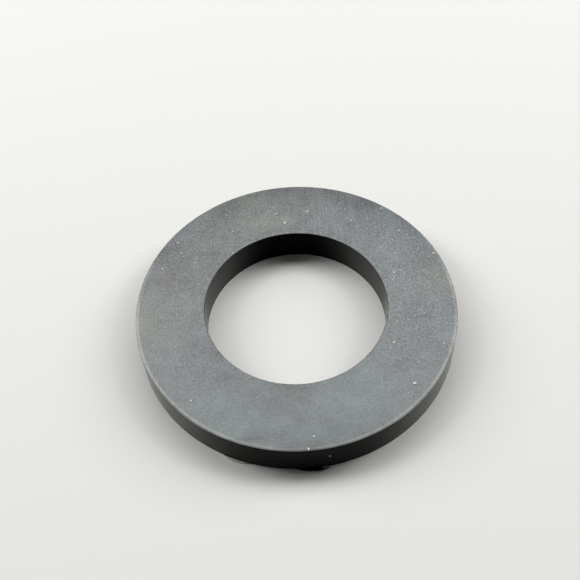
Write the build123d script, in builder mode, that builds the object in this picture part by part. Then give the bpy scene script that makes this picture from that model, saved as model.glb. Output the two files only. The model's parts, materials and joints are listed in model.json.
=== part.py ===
"""Rubber seal: one moulded flat ring with a drafted outer wall, rounded upper rims and torn mould flash.

Frame: the bore axis is +Z, the origin is on that axis in the plane of the resting face, and the face that
looks up is the cavity side of the mould. The mould parted in the resting plane, so the outer wall is widest
there, the edges there are sharp, and the flash is there. Azimuth is measured from +X, anticlockwise seen
from above. Lengths are in millimetres and angles in degrees.
"""

from build123d import *
import os

os.makedirs("parts", exist_ok=True)

# Driving dimensions
outer_diameter = 38.0  # across the foot of the outer wall, where it is widest
bore_diameter = 21.6
thickness = 4.2
wall_draft = 1.0  # how far the outer wall leans in from the upright, so that it leaves the cavity
rim_radius = 0.25  # round the upper edge of the outer wall
lip_radius = 0.1  # round the upper edge of the bore

# Flash left at the parting line: a thin skin that was torn off unevenly
flash_thickness = 0.15
flash_root = 0.1  # how deep inside the wall each remnant's outline starts and ends
left_flash_start = -119.0
left_flash_peak = -114.8
left_flash_end = -107.8
left_flash_reach = 0.34  # how far its peak stands out from the wall
front_flash_start = -94.0
front_flash_peak = -84.8
front_flash_end = -80.0
front_flash_reach = 0.45

outer_radius = outer_diameter / 2
bore_radius = bore_diameter / 2


def beside_wall(azimuth, out):
    """The point of the parting plane at an azimuth, at a distance out from the foot of the outer wall."""
    point = Vector(outer_radius + out, 0).rotate(Axis.Z, azimuth)
    return point.X, point.Y


def flash_outline(start, peak, end, reach):
    """The closed outline of one remnant: a lopsided bow out of the wall, with a straight root inside it."""
    first, last = beside_wall(start, -flash_root), beside_wall(end, -flash_root)
    Spline(first, beside_wall(peak, reach), last)
    Line(last, first)


with BuildPart() as rubber_seal:
    # The section of the ring, drawn in the XZ plane beside the axis
    with BuildSketch(Plane.XZ):
        with Locations((bore_radius, 0)):
            Trapezoid(outer_radius - bore_radius, thickness, 90, 90 - wall_draft, align=Align.MIN)
        fillet(vertices().group_by(Axis.Y)[-1].sort_by(Axis.X)[0], radius=lip_radius)
        fillet(vertices().group_by(Axis.Y)[-1].sort_by(Axis.X)[-1], radius=rim_radius)
    revolve(axis=Axis.Z)

    # The flash, in the parting plane
    with BuildSketch(Plane.XY):
        with BuildLine():
            flash_outline(left_flash_start, left_flash_peak, left_flash_end, left_flash_reach)
        make_face()
        with BuildLine():
            flash_outline(front_flash_start, front_flash_peak, front_flash_end, front_flash_reach)
        make_face()
    extrude(amount=flash_thickness)

rubber_seal.part.label = "rubber_seal"
export_step(rubber_seal.part, "parts/rubber_seal.step")
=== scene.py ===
"""A moulded rubber seal lying on a pale bench: the ring with its flash, the dust on it, and the studio."""

import json
import math
import random

import bmesh
import bpy
from mathutils import Matrix, Vector, noise


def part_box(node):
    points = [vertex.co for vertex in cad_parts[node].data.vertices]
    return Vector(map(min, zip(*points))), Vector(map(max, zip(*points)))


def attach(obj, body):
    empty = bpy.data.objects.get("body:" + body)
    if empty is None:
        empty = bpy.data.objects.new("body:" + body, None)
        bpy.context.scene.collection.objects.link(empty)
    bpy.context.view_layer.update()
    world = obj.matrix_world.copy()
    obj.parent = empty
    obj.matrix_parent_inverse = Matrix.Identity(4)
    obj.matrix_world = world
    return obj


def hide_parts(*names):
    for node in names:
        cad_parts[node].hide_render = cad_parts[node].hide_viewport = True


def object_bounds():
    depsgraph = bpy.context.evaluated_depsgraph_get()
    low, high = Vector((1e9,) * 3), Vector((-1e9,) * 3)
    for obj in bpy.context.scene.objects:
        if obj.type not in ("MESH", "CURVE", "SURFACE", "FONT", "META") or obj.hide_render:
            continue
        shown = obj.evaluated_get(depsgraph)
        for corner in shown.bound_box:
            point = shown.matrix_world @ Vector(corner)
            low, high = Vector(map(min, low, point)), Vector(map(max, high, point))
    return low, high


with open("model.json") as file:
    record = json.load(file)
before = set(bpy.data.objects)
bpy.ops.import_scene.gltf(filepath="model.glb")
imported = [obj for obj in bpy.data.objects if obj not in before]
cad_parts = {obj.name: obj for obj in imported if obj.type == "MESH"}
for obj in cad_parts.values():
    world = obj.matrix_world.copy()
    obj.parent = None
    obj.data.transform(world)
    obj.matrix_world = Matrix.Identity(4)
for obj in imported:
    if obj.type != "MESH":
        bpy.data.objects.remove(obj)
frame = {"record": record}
cad_low, cad_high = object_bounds()

# --- The ring -------------------------------------------------------------------------------------
# Black rubber pressed hot in a two-part mould. The cavity leant the outer wall in and rounded its upper
# edges, and the plate that closed it left the lower edges sharp. The rubber filled it a little unevenly.

mm = 0.001
mounts = {mount["name"]: mount for mount in frame["record"]["mounts"]}
_, ring_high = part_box("rubber_seal")
foot_radius = ring_high.x  # the outer wall where it meets the bench
thickness = ring_high.z
bore_radius = mounts["bore"]["dims"]["r_mm"] * mm
lip_radius = thickness - mounts["bore"]["dims"]["length_mm"] * mm
rim_width = 0.25 * mm  # the outer edge rolls over this far inwards
rim_depth = 0.2 * mm  # and this far down
wall_draft = math.radians(1)
top_radius = foot_radius - thickness * math.tan(wall_draft)

spin_steps = 720
rim_steps = 12  # faces across the round of the outer rim
lip_steps = 4  # and across the round of the bore's edge
fine_pitch = 0.25 * mm  # between the rings of vertices on the upper face
coarse_pitch = 0.6 * mm  # and on the walls and the underside
support = 0.04 * mm  # a narrow strip beside each round, which keeps the flat beside it flat
bead_height = 0.008 * mm
bead_width = 0.6 * mm
crown_width = 4 * mm  # over this far the face falls away towards the outer edge
crown_drop = 0.1 * mm
bore_nicks = 0.02 * mm  # how far the edge of the bore wanders in and out
long_nick = 0.4 * mm
short_nick = 0.17 * mm
wall_waves = 0.012 * mm  # how far the outer wall wanders
wave_count = 5  # waves in each radian of the way round
hair = 0.0001 * mm  # two heights this close count as one


def ring_section(bm):
    """The ring's closed section, standing in the XZ plane beside the axis."""
    rim_foot = rim_depth + support
    lip_flat = lip_radius + support
    outline = [
        (bore_radius, 0),
        (foot_radius, 0),
        (top_radius + rim_foot * math.tan(wall_draft), thickness - rim_foot),
        (top_radius, thickness),
        (top_radius - rim_width - support, thickness),
        (bore_radius + lip_flat, thickness),
        (bore_radius, thickness),
        (bore_radius, thickness - lip_flat),
    ]
    corners = [bm.verts.new((x, 0, z)) for x, z in outline]
    bm.faces.new(corners)
    for corner, radius, steps in ((corners[3], rim_depth, rim_steps), (corners[6], lip_radius, lip_steps)):
        bmesh.ops.bevel(bm, geom=[corner], affect="VERTICES", offset_type="OFFSET", offset=radius,
                        segments=steps, profile=0.5, material=-1)
    # The bevel is round, and the real rim is wider than it is deep.
    for v in bm.verts:
        if v.co.x > top_radius - 1.1 * rim_depth and v.co.z > thickness - 0.99 * rim_depth:
            v.co.x = top_radius - (top_radius - v.co.x) * rim_width / rim_depth
    bmesh.ops.delete(bm, geom=bm.faces[:], context="FACES_ONLY")
    # The long stretches get vertices between their ends, so that they can bend.
    for edge in [edge for edge in bm.edges if edge.calc_length() > 1 * mm]:
        pitch = fine_pitch if min(v.co.z for v in edge.verts) > thickness / 2 else coarse_pitch
        bmesh.ops.subdivide_edges(bm, edges=[edge], cuts=round(edge.calc_length() / pitch))


def shape_face(bm):
    """Lifts the face in a faint bead round the bore, and lets it fall away towards the outer rim."""
    for v in bm.verts:
        across = (v.co.x - bore_radius - lip_radius) / bead_width
        if v.co.z > thickness - hair and 0 < across < 1:
            v.co.z += bead_height * math.sin(math.pi * across) ** 2
        fallen = max(0, 1 - (top_radius - v.co.x) / crown_width)
        v.co.z -= crown_drop * fallen ** 2 * (v.co.z / thickness) ** 4


def fill_unevenly(bm):
    """Lets the upper edge of the bore and the outer wall wander by a few hundredths of a millimetre."""
    for v in bm.verts:
        radius = v.co.to_2d().length
        outward = Vector((v.co.x, v.co.y, 0)) / radius
        at_bore = max(0, 1 - (radius - bore_radius) / (3 * lip_radius))
        nicks = noise.noise(v.co / long_nick) + 0.6 * noise.noise(v.co / short_nick)
        v.co += outward * bore_nicks * nicks * at_bore * (v.co.z / thickness) ** 6
        at_wall = max(0, 1 - (top_radius - radius) / rim_width)
        waves = noise.noise(outward * wave_count + Vector((0, 0, v.co.z / thickness)))
        v.co += outward * wall_waves * (waves - 1) * min(1, at_wall)


ring_mesh = bmesh.new()
ring_section(ring_mesh)
shape_face(ring_mesh)
bmesh.ops.spin(ring_mesh, geom=ring_mesh.verts[:] + ring_mesh.edges[:], axis=(0, 0, 1), cent=(0, 0, 0),
               angle=math.tau, steps=spin_steps, use_merge=True)
bmesh.ops.recalc_face_normals(ring_mesh, faces=ring_mesh.faces[:])

# --- The flash ------------------------------------------------------------------------------------
# A skin of rubber that crept between the halves of the mould and was torn off by hand. Two scraps of
# it still hang on the foot of the outer wall, of one piece with the ring, thin and uneven.

flash_thickness = 0.15 * mm
flash_steps = 5  # faces across each scrap
flash_taper = 0.13  # how much of its thickness a scrap loses at every step, where it is broadest
flash_fullness = 0.8  # under 1, a scrap is broader than a plain bow
merge_distance = 0.0005 * mm
sharp_turn = math.radians(35)  # edges that turn more than this stay crisp, such as those at the foot

bmesh.ops.bisect_plane(ring_mesh, geom=ring_mesh.verts[:] + ring_mesh.edges[:] + ring_mesh.faces[:],
                       plane_co=(0, 0, flash_thickness), plane_no=(0, 0, 1))
fill_unevenly(ring_mesh)


def pull_flash(bm, start, peak, end, reach, curl):
    """Draws the foot of the wall out, between two azimuths in degrees, into a torn scrap that curls up."""
    def azimuth(point):
        return math.degrees(math.atan2(point.y, point.x))

    foot = []
    for face in bm.faces:
        centre = face.calc_center_median()
        on_wall = abs(face.normal.z) < 0.5 and centre.to_2d().length > top_radius
        if on_wall and centre.z < flash_thickness and start < azimuth(centre) < end:
            foot.append(face)
    for step in range(flash_steps):
        drawn = bmesh.ops.extrude_face_region(bm, geom=foot)["geom"]
        bmesh.ops.delete(bm, geom=foot, context="FACES_KEEP_BOUNDARY")
        foot = [item for item in drawn if isinstance(item, bmesh.types.BMFace)]
        for v in {v for face in foot for v in face.verts}:
            turn = azimuth(v.co)
            rise = (turn - start) / (peak - start) if turn < peak else (end - turn) / (end - peak)
            bow = math.sin(max(0, min(1, rise)) * math.pi / 2) ** flash_fullness
            long_tear = noise.noise(Vector((turn * 1.3, 0, 0)))
            short_tear = noise.noise(Vector((turn * 3.7, 3, 0)))
            torn = 1 + 0.2 * long_tear + 0.05 * short_tear
            outward = Vector((v.co.x, v.co.y, 0)).normalized()
            v.co += outward * reach * bow * torn / flash_steps
            v.co.z *= 1 - flash_taper * bow
            v.co.z += curl(turn) * bow * (step + 1) / flash_steps ** 2


def left_curl(turn):
    """The left scrap curls up evenly."""
    return 0.12 * mm


def front_curl(turn):
    """The front scrap lies nearly flat on its left, and stands up more with each degree to the right."""
    return 0.09 * mm * max(0.5, turn + 90)


def add_piece(name, bm):
    """Puts a finished mesh into the scene as an object of its own."""
    piece = bpy.data.objects.new(name, bpy.data.meshes.new(name))
    bm.to_mesh(piece.data)
    bm.free()
    bpy.context.scene.collection.objects.link(piece)
    return piece


pull_flash(ring_mesh, start=-118.4, peak=-114.8, end=-108.4, reach=0.34 * mm, curl=left_curl)
pull_flash(ring_mesh, start=-93.3, peak=-85.0, end=-80.6, reach=0.45 * mm, curl=front_curl)
bmesh.ops.remove_doubles(ring_mesh, verts=ring_mesh.verts[:], dist=merge_distance)

seal = add_piece("moulded_ring", ring_mesh)
seal.data.shade_smooth()
seal.data.set_sharp_from_angle(angle=sharp_turn)
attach(seal, "root")
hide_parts("rubber_seal")

# --- The rubber's finish --------------------------------------------------------------------------
# The rubber is black through and through. A grey bloom has come out of it on the upper face and the
# rim; a paler band on the rim is a painted highlight. The walls, which nothing rubs, kept the black that
# the mould gave, save for painted light on the bore's flanks and a painted highlight on the flash.


class Channel:
    """One output of a shader node. Sums written with channels add Math nodes to the same material."""

    def __init__(self, tree, socket=None):
        self.tree = tree
        self.socket = socket

    def node(self, kind, settings=None, sockets=None, output=0):
        """Adds a node of any kind: its settings first, then the values or links of its sockets."""
        made = self.tree.nodes.new("ShaderNode" + kind)
        for name, value in (settings or {}).items():
            setattr(made, name, value)
        for name, value in (sockets or {}).items():
            if isinstance(value, Channel):
                self.tree.links.new(value.socket, made.inputs[name])
            else:
                made.inputs[name].default_value = value
        return Channel(self.tree, made.outputs[output] if made.outputs else None)

    def maths(self, operation, first, second):
        return self.node("Math", {"operation": operation}, {0: first, 1: second})

    def __add__(self, other):
        return self.maths("ADD", self, other)

    def __radd__(self, other):
        return self.maths("ADD", other, self)

    def __sub__(self, other):
        return self.maths("SUBTRACT", self, other)

    def __rsub__(self, other):
        return self.maths("SUBTRACT", other, self)

    def __mul__(self, other):
        return self.maths("MULTIPLY", self, other)

    def __rmul__(self, other):
        return self.maths("MULTIPLY", other, self)

    def rise(self, low, high):
        """0 below low, 1 above high, and a soft step between."""
        return self.node("MapRange", {"interpolation_type": "SMOOTHSTEP"},
                         {"Value": self, "From Min": low, "From Max": high})

    def blend(self, first, second):
        """The first colour where this is 0, and the second where it is 1."""
        return self.node("Mix", {"data_type": "RGBA"}, {0: self, 6: first, 7: second}, 2)


def bare_nodes(owner):
    """Empties the nodes of a material or a world, and gives the channel that new ones start from."""
    owner.use_nodes = True
    owner.node_tree.nodes.clear()
    return Channel(owner.node_tree)


def in_millimetres(start):
    """The place on the object, in millimetres: x to the right, y to the back and z up."""
    on_object = start.node("TexCoord", output="Object")
    return start.node("VectorMath", {"operation": "SCALE"}, {0: on_object, "Scale": 1 / mm})


rubber = bpy.data.materials.new("bloomed_rubber")
in_rubber = bare_nodes(rubber)
place = in_millimetres(in_rubber)
right_of_middle = in_rubber.node("SeparateXYZ", None, {0: place}, 0)
behind_middle = in_rubber.node("SeparateXYZ", None, {0: place}, 1)
above_bench = in_rubber.node("SeparateXYZ", None, {0: place}, 2)
level = in_rubber.node("VectorMath", {"operation": "MULTIPLY"}, {0: place, 1: (1, 1, 0)})
from_axis = in_rubber.node("VectorMath", {"operation": "LENGTH"}, {0: level}, 1)
# The radii of the bore, the foot and the top of the wall, and the height of the face, in millimetres.
bore, foot, shoulder, top = (size / mm for size in (bore_radius, foot_radius, top_radius, thickness))


def cloud(scale, detail, roughness, where=place):
    """Noise from 0 to 1, with this many lumps in a millimetre."""
    return in_rubber.node("TexNoise", None, {
        "Vector": where, "Scale": scale, "Detail": detail, "Roughness": roughness,
    })


wander = 6.0 * (cloud(0.25, 2.0, 0.6) - 0.5)  # how far the edge of a patch strays, in millimetres


def patch(right, behind, reach):
    """1 at a point of the face, in millimetres from its middle, and 0 beyond a ragged edge."""
    off = in_rubber.node("VectorMath", {"operation": "DISTANCE"}, {0: level, 1: (right, behind, 0)}, 1)
    return 1 - (off + wander).rise(0, reach)


def between(distance, low, high, blur):
    """1 where a distance lies between two limits, and 0 outside them."""
    return distance.rise(low - blur, low + blur) * (1 - distance.rise(high - blur, high + blur))


def strip(left, right, front, back):
    """1 inside a soft-edged oblong of the face, in millimetres from its middle, and 0 outside it."""
    return between(right_of_middle, left, right, 0.4) * between(behind_middle, front, back, 0.12)


# The rim is painted paler at the sides and the front but not at the back: a painted highlight along its
# round. Beside the front rim the face is darker in a thin strip, and a little paler between it and the rim.
rim = from_axis.rise(shoulder - 0.5, shoulder - 0.28) * (1 - behind_middle.rise(2, 12))
dark_strip = strip(-8.4, -4.0, -17.3, -16.9)
pale_strip = strip(-7.2, -3.5, -19, -17.6)


def bloom_tint():
    """Blue-grey, with bluer, plainer and browner patches: middle, reach and tint of each."""
    tint = (0.14, 0.161, 0.166, 1)
    blue = (0.134, 0.162, 0.163, 1)
    plain = (0.152, 0.16, 0.163, 1)
    brown = (0.148, 0.161, 0.144, 1)
    pale_strip_tint = (0.154, 0.16, 0.153, 1)
    rim_highlight_tint = (0.153, 0.161, 0.153, 1)
    for right, behind, reach, patch_tint in (
        (-5, -14, 12, blue), (6, -14, 11, blue), (-16, 5, 14, plain), (3, 18, 12, plain),
        (-3.5, 13, 6, brown), (-6, 17.5, 4, brown), (-9, 11, 4, brown), (-18, -1, 7, brown),
        (17.5, 2.5, 4, brown),
    ):
        tint = patch(right, behind, reach).blend(tint, patch_tint)
    tint = pale_strip.blend(tint, pale_strip_tint)
    # The rim takes the tint of its painted highlight.
    return rim.blend(tint, rim_highlight_tint)


def bloom_thickness(grain):
    """Grain, clouds and wipe marks, then patches: middle and reach of each, and how much it adds."""
    clouds = cloud(0.28, 4.0, 0.8)
    drawn_out = in_rubber.node("VectorMath", {"operation": "MULTIPLY"}, {0: place, 1: (1, 0.08, 1)})
    wipes = cloud(4.0, 1.0, 0.5, drawn_out)
    streaks = 0.7 * (wipes - 0.5) * behind_middle.rise(4, 12) * right_of_middle.rise(-4, 4)
    # Within about a millimetre of the bore the face is painted a little darker: painted shade beside the
    # bead.
    past_bore_shade = from_axis.rise(bore + 0.6, bore + 1.4)
    coarser = 0.5 * patch(18, 1, 16) + 0.3 * patch(-12, 11, 10)
    finer = 0.5 * patch(0, -16, 17) + 0.5 * rim
    coarseness = 1 + coarser - finer
    amount = 2.15 * (grain - 0.5) * coarseness + 1.2 * clouds + streaks + 0.05 * past_bore_shade + 0.2
    for right, behind, reach, thicker in (
        (-3.5, 13.4, 6, 0.26), (5, 12.5, 6, 0.14), (-18, -1, 9, 0.15), (-9.5, -15.5, 6, 0.2),
        (7, -12.5, 8, 0.14), (-0.5, -11.3, 5, -0.24), (-9, -8.5, 6, -0.16), (-13.5, 5, 7, -0.12),
        (14, -4.5, 7, -0.1), (9, 16, 6, -0.12), (11.5, 7.5, 6, 0.12), (11.5, -3, 4, 0.14),
        (-12.5, 12.5, 5, 0.14),
    ):
        amount = amount + thicker * patch(right, behind, reach)
    # A painted highlight makes the bloom on the rim paler, half as much at the front.
    painted_rim_highlight = 0.85 * rim * (1 - 0.5 * patch(0, -19, 11))
    return amount * (1 + painted_rim_highlight) * (1 - 0.25 * dark_strip + 0.05 * pale_strip)


def bloomed_face(grain, relief):
    """Grey and slightly glossy, and paler where the bloom is thicker."""
    bloom = in_rubber.node("VectorMath", {"operation": "SCALE"}, {0: bloom_tint(), 3: bloom_thickness(grain)})
    return in_rubber.node("BsdfPrincipled", None, {
        "Base Color": bloom, "Roughness": 0.27, "Normal": relief, "IOR": 1.5,
    })


def moulded_wall(relief):
    """Black, with a pale painted highlight on the flash: all of the left scrap, and the right tip of the
    front one.
    """
    black = (0.002, 0.002, 0.002, 1)
    flash_glint_tint = (0.6, 0.59, 0.55, 1)
    painted_flank_light = (0.064, 0.065, 0.061, 1)
    # The flash is painted pale as a highlight: all of the left scrap, and the front tip short of its outer
    # edge.
    scrap = from_axis.rise(foot + 0.03, foot + 0.09)
    front_scrap = right_of_middle.rise(-5, -4)
    front_tip = right_of_middle.rise(1.6, 2.0) * (1 - from_axis.rise(foot + 0.2, foot + 0.28))
    torn = scrap * (1 - front_scrap * (1 - front_tip))
    wall = torn.blend(black, flash_glint_tint)
    # The bore's wall is painted a thin grey on the left and right, as painted light falling on its flanks,
    # and this fades out towards the middle of its back.
    in_bore = 1 - from_axis.rise(bore + 0.3, bore + 0.6)
    lit_flanks = in_bore * behind_middle.rise(1, 5) * (1 - behind_middle.rise(6.5, 10.5))
    return in_rubber.node("BsdfPrincipled", None, {
        "Base Color": lit_flanks.blend(wall, painted_flank_light), "Roughness": 0.2 + 0.3 * torn,
        "Normal": relief, "IOR": 1.05,
        "Sheen Weight": 0.6, "Sheen Roughness": 0.3, "Sheen Tint": (0.97, 1, 0.93, 1),
    })


grain = cloud(4.1, 2.4, 0.72)
relief = in_rubber.node("Bump", None, {"Height": grain, "Distance": 0.01 * mm, "Strength": 0.6})
# The bloom covers the face, and the rim down to where the mould's wall begins. At the front it stops
# higher up the round, and the black below is painted shade, where the round turns away from the lamps.
front_rim_shade = 1 - behind_middle.rise(-18.5, -14)
down_to_wall = (above_bench - 0.08 * front_rim_shade).rise(top - 0.28, top - 0.2)
face = down_to_wall * from_axis.rise(bore + 0.01, bore + 0.07)
finish = in_rubber.node("MixShader", None, {0: face, 1: moulded_wall(relief), 2: bloomed_face(grain, relief)})
in_rubber.node("OutputMaterial", None, {"Surface": finish})
seal.data.materials.append(rubber)

# --- The dust -------------------------------------------------------------------------------------
# Pale grit and lint that has settled on the seal. Each piece is a small closed lump, sunk a little
# into the place where it lies. Only the static on the rubber holds it.

random.seed(4)
flatness = 0.45  # height of a flake, as a share of its width
lift = 0.05  # how far its middle stands off the rubber, as a share of its width
dust_mesh = bmesh.new()


def settle(place, size, up=Vector((0, 0, 1)), stretch=None, turn=None):
    """Adds a dented flake at a place, flattened along up. Unless told, chance stretches and turns it."""
    flake = bmesh.ops.create_icosphere(dust_mesh, subdivisions=1, radius=size / 2)["verts"]
    for v in flake:
        v.co *= random.uniform(0.9, 1.3)
    stretch = stretch or random.uniform(0.8, 1.5)
    turn = random.uniform(0, math.pi) if turn is None else math.radians(turn)
    bmesh.ops.scale(dust_mesh, verts=flake, vec=(stretch, 1 / stretch, flatness))
    bmesh.ops.rotate(dust_mesh, verts=flake, cent=(0, 0, 0), matrix=Matrix.Rotation(turn, 3, "Z"))
    bmesh.ops.rotate(dust_mesh, verts=flake, cent=(0, 0, 0), matrix=up.to_track_quat("Z", "Y").to_matrix())
    bmesh.ops.translate(dust_mesh, verts=flake, vec=place + up * size * lift)


def around(radius, azimuth, height):
    """The point at a radius from the axis, an azimuth in degrees and a height."""
    turn = math.radians(azimuth)
    return Vector((radius * math.cos(turn), radius * math.sin(turn), height))


def on_face(radius, azimuth):
    """The point of the upper face at a radius and an azimuth."""
    fallen = max(0, 1 - (top_radius - radius) / crown_width)
    return around(radius, azimuth, thickness - crown_drop * fallen ** 2)


# The larger flakes: radius and azimuth on the face, and size.
for radius, azimuth, size in (
    (12.6, 93.3, 0.38), (17.05, -43.0, 0.37), (18.35, 20.2, 0.29), (12.5, -29.7, 0.32), (12.6, 17.2, 0.26),
    (16.95, 37.3, 0.24), (14.5, 81.0, 0.24), (17.15, -135.2, 0.31), (17.65, 143.5, 0.24), (14.35, 96.9, 0.23),
    (18.3, 50.4, 0.23), (12.05, 12.3, 0.22), (17.4, 9.8, 0.22), (17.8, -22.1, 0.22), (17.3, -86.7, 0.22),
    (15.05, -9.5, 0.22), (17.25, 158.0, 0.22), (11.0, 131.3, 0.2),
):
    settle(on_face(radius * mm, azimuth), size * mm, stretch=1.1)
# Lint: radius and azimuth of the middle, size, and the way it lies.
for radius, azimuth, size, turn in (
    (13.67, 152.2, 0.16, 130), (13.35, 151.4, 0.13, 60), (11.25, 157.1, 0.16, 125), (17.2, 157.9, 0.14, 95),
    (15.9, 52.0, 0.12, 88), (14.6, 58.0, 0.12, 93), (13.1, -112.0, 0.12, 20), (16.2, -64.0, 0.12, 160),
    (17.65, -101.1, 0.11, 0),
):
    settle(on_face(radius * mm, azimuth), size * mm, stretch=2.2, turn=turn)
# A crumb that hangs on the front rim, and a flake on the wall beneath it.
leaning = around(1, -88.9, 3).normalized()
on_rim = around(top_radius - 0.25 * mm, -88.9, thickness - 0.1 * mm)
settle(on_rim, 0.27 * mm, leaning, stretch=1.3, turn=90)
outward = around(1, -82.2, 0)
on_wall = around(foot_radius - 0.04 * mm, -82.2, 2.4 * mm)
settle(on_wall, 0.24 * mm, outward, stretch=1.1, turn=0)
# The finest specks lie in three drifts, on the right, on the left and at the back: how many there are,
# and the middle and spread of their azimuths. Most are hardly wider than the smallest.
smallest_speck = 0.055
largest_speck = 0.175
for specks, drift, spread in ((330, 0, 24), (140, 162, 28), (60, 75, 30)):
    for _ in range(specks):
        radius = math.sqrt(random.uniform((bore + 0.3) ** 2, (shoulder - 0.4) ** 2))
        size = min(largest_speck, smallest_speck + random.expovariate(56))
        settle(on_face(radius * mm, random.gauss(drift, spread)), size * mm)

bmesh.ops.recalc_face_normals(dust_mesh, faces=dust_mesh.faces[:])
dust = add_piece("dust", dust_mesh)
dust.data.shade_smooth()
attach(dust, "root")

# Mineral grit and lint, some pieces browner and some whiter.
browner = (0.72, 0.7, 0.66, 1)
whiter = (0.88, 0.9, 0.92, 1)
grit = bpy.data.materials.new("pale_grit")
in_grit = bare_nodes(grit)
sort = in_grit.node("TexNoise", None, {"Vector": in_millimetres(in_grit), "Scale": 0.7, "Detail": 1.0})
shader = in_grit.node("BsdfPrincipled", None, {
    "Base Color": sort.rise(0.35, 0.65).blend(browner, whiter), "Roughness": 0.6,
})
in_grit.node("OutputMaterial", None, {"Surface": shader})
dust.data.materials.append(grit)

# --- The studio -----------------------------------------------------------------------------------
# A bench painted matt and pale, under a pale sky. Soft lamps stand round the seal: a broad one high
# behind it, and at each side two small ones, one above the other.

pale = (0.84, 0.838, 0.815, 1)
bench_radius = 1.2
lit = 0.08  # up to this far from the middle of the seal, the bench shows the light of its lamps
even = 0.25  # and from here on, an even pale tone
brightness = 0.95  # of that tone and of the sky, as they are seen
sky_light = 0.05  # what the sky sheds on the seal


def seen(start):
    """1 for what the camera, a reflection or clear material shows, and 0 for what lights the seal."""
    camera, glossy, through = (start.node("LightPath", output="Is %s Ray" % kind)
                               for kind in ("Camera", "Glossy", "Transmission"))
    return start.maths("MAXIMUM", camera, start.maths("MAXIMUM", glossy, through))


paint = bpy.data.materials.new("pale_bench")
in_paint = bare_nodes(paint)
on_bench = in_paint.node("TexCoord", output="Object")
distance = in_paint.node("VectorMath", {"operation": "LENGTH"}, {0: on_bench}, 1)
matt = in_paint.node("BsdfPrincipled", None, {
    "Base Color": pale, "Roughness": 0.9, "Specular IOR Level": 0.1,
})
glow = in_paint.node("Emission", None, {"Color": pale, "Strength": brightness})
shown = in_paint.node("MixShader", None, {0: distance.rise(lit, even) * seen(in_paint), 1: matt, 2: glow})
in_paint.node("OutputMaterial", None, {"Surface": shown})

bench_mesh = bmesh.new()
bmesh.ops.create_circle(bench_mesh, cap_ends=True, segments=128, radius=bench_radius)
bench = add_piece("bench", bench_mesh)
bench.data.materials.append(paint)

middle = (cad_low + cad_high) / 2
lamp_distance = 0.45
small = 0.14  # across each of the side lamps


def softbox(name, azimuth, elevation, width, height, radiance):
    """A soft rectangular lamp that faces the seal. Azimuth 0 is straight behind it, 90 on its right."""
    data = bpy.data.lights.new(name, "AREA")
    data.shape = "RECTANGLE"
    data.size = width
    data.size_y = height
    data.energy = radiance * math.pi * width * height  # the power at which it shines this brightly
    lamp = bpy.data.objects.new(name, data)
    turn = math.radians(azimuth)
    rise = math.radians(elevation)
    away = Vector((math.sin(turn) * math.cos(rise), math.cos(turn) * math.cos(rise), math.sin(rise)))
    lamp.location = middle + away * lamp_distance
    lamp.rotation_mode = "QUATERNION"
    lamp.rotation_quaternion = away.to_track_quat("Z", "Y")
    bpy.context.scene.collection.objects.link(lamp)


softbox("back_lamp", 0, 61, width=0.56, height=0.2, radiance=3.4)
softbox("left_lamp", -66, 28, small, small, radiance=8.4)
softbox("right_lamp", 66, 28, small, small, radiance=8.4)
softbox("upper_left_lamp", -70, 45, small, small, radiance=7.1)
softbox("upper_right_lamp", 70, 45, small, small, radiance=7.1)

world = bpy.data.worlds.new("studio")
bpy.context.scene.world = world
in_sky = bare_nodes(world)
strength = sky_light + (brightness - sky_light) * seen(in_sky)
sky = in_sky.node("Background", None, {"Color": pale, "Strength": strength})
in_sky.node("OutputWorld", None, {"Surface": sky})

camera_elevation = math.radians(53.87)
camera_roll = math.radians(-3.55)
camera_distance = 102.37 * mm
target = Vector((-0.57 * mm, 2.085 * mm, thickness))
forward = Vector((0, math.cos(camera_elevation), -math.sin(camera_elevation)))
right = Vector((1, 0, 0))
up = right.cross(forward)
camera_data = bpy.data.cameras.new("camera")
camera_data.lens = 53.26
camera_data.sensor_width = 36
camera_data.clip_start = 0.005
camera_data.clip_end = 10
camera = bpy.data.objects.new("camera", camera_data)
turned_right = math.cos(camera_roll) * right + math.sin(camera_roll) * up
turned_up = math.cos(camera_roll) * up - math.sin(camera_roll) * right
camera.matrix_world = Matrix((turned_right, turned_up, -forward)).transposed().to_4x4()
camera.location = target - forward * camera_distance
bpy.context.scene.collection.objects.link(camera)
bpy.context.scene.camera = camera
bpy.context.scene.view_settings.view_transform = "Standard"
